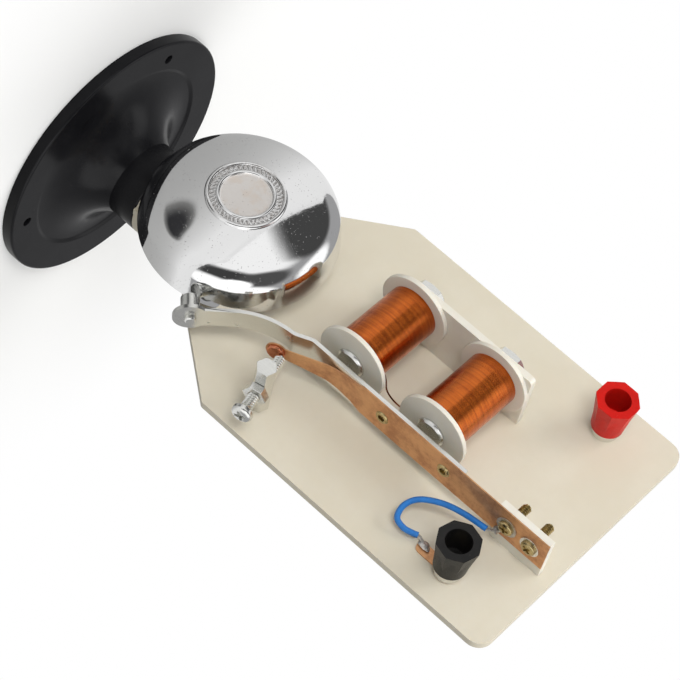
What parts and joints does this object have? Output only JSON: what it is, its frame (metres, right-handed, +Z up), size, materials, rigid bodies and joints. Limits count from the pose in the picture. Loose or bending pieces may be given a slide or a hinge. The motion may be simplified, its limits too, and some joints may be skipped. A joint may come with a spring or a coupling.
{
  "type": "electric bell demonstrator",
  "caption": "Electric bell on an upright ivory panel: two coils, sprung armature with hammer, contact screw, chromed gong, two binding posts and a round black base.",
  "frame": {"origin": "centre of the base's underside", "axes": "+X across the panel towards the contact screw and the black binding post, -Y out of the panel's front, +Z up"},
  "size_m": [0.0939, 0.0866, 0.1925],
  "materials": {
    "black_base": "glossy",
    "ivory_panel": "satin",
    "chromed_bell": "polished",
    "plated_steel": "satin",
    "white_plastic": "satin",
    "enamelled_wire": "glossy enamel over copper",
    "iron": "turned",
    "copper_strip": "tarnished copper alloy",
    "copper_rivet": "polished copper",
    "brass": "dull",
    "tinned_metal": "dull",
    "blue_cover": "satin",
    "red_cap": "satin",
    "black_cap": "satin"
  },
  "bodies": {
    "frame_body": {"base": "black_base", "base_screw": "plated_steel", "panel": "ivory_panel", "gong": "chromed_bell", "gong_boss": "brass", "gong_pillar": "plated_steel", "bobbin_low": "white_plastic", "bobbin_high": "white_plastic", "winding_low": "enamelled_wire", "winding_high": "enamelled_wire", "core_low": "iron", "core_high": "iron", "core_bolts": "plated_steel", "coil_bracket": "white_plastic", "bracket_screws": "plated_steel", "bracket_nuts": "plated_steel", "coil_link_wire": "enamelled_wire", "spring_clamped_end": "copper_strip", "spring_block": "white_plastic", "clamp_screws": "brass", "clamp_nuts": "brass", "clamp_washer": "plated_steel", "solder_tag": "tinned_metal", "contact_post": "plated_steel", "stud_red": "brass", "stud_black": "brass", "terminal_collars": "plated_steel", "terminal_washers": "plated_steel", "terminal_nuts": "plated_steel", "terminal_tag": "copper_strip", "blue_lead": "blue_cover", "lead_ends": "tinned_metal", "rear_screws": "plated_steel", "rear_washers": "plated_steel"},
    "armature_body": {"armature": "plated_steel", "hammer": "plated_steel", "leaf_spring": "copper_strip", "eyelets": "brass", "contact_rivet": "copper_rivet"},
    "contact_screw_body": {"contact_screw": "plated_steel"},
    "lock_nut_body": {"lock_nut": "plated_steel"},
    "cap_red_body": {"cap_red": "red_cap"},
    "cap_black_body": {"cap_black": "black_cap"}
  },
  "joints": [
    {"name": "armature_swing", "type": "hinge", "parent": "frame_body", "child": "armature_body", "pos_m": [0.0172, -0.0163, 0.1634], "axis": [0, 1, 0], "range_deg": [0, 0.4], "stiffness_Nm_per_rad": 0.54, "springref_deg": -1.15},
    {"name": "contact_screw_turn", "type": "hinge", "parent": "frame_body", "child": "contact_screw_body", "pos_m": [0.0345, -0.0163, 0.0966], "axis": [0.9724, 0, 0.2334], "continuous": true},
    {"name": "lock_nut_turn", "type": "hinge", "parent": "frame_body", "child": "lock_nut_body", "pos_m": [0.0345, -0.0163, 0.0966], "axis": [0.9724, 0, 0.2334], "continuous": true},
    {"name": "cap_red_turn", "type": "hinge", "parent": "frame_body", "child": "cap_red_body", "pos_m": [-0.0346, -0.0137, 0.1707], "axis": [0, -1, 0], "continuous": true},
    {"name": "cap_black_turn", "type": "hinge", "parent": "frame_body", "child": "cap_black_body", "pos_m": [0.0346, -0.0137, 0.1699], "axis": [0, -1, 0], "continuous": true}
  ]
}
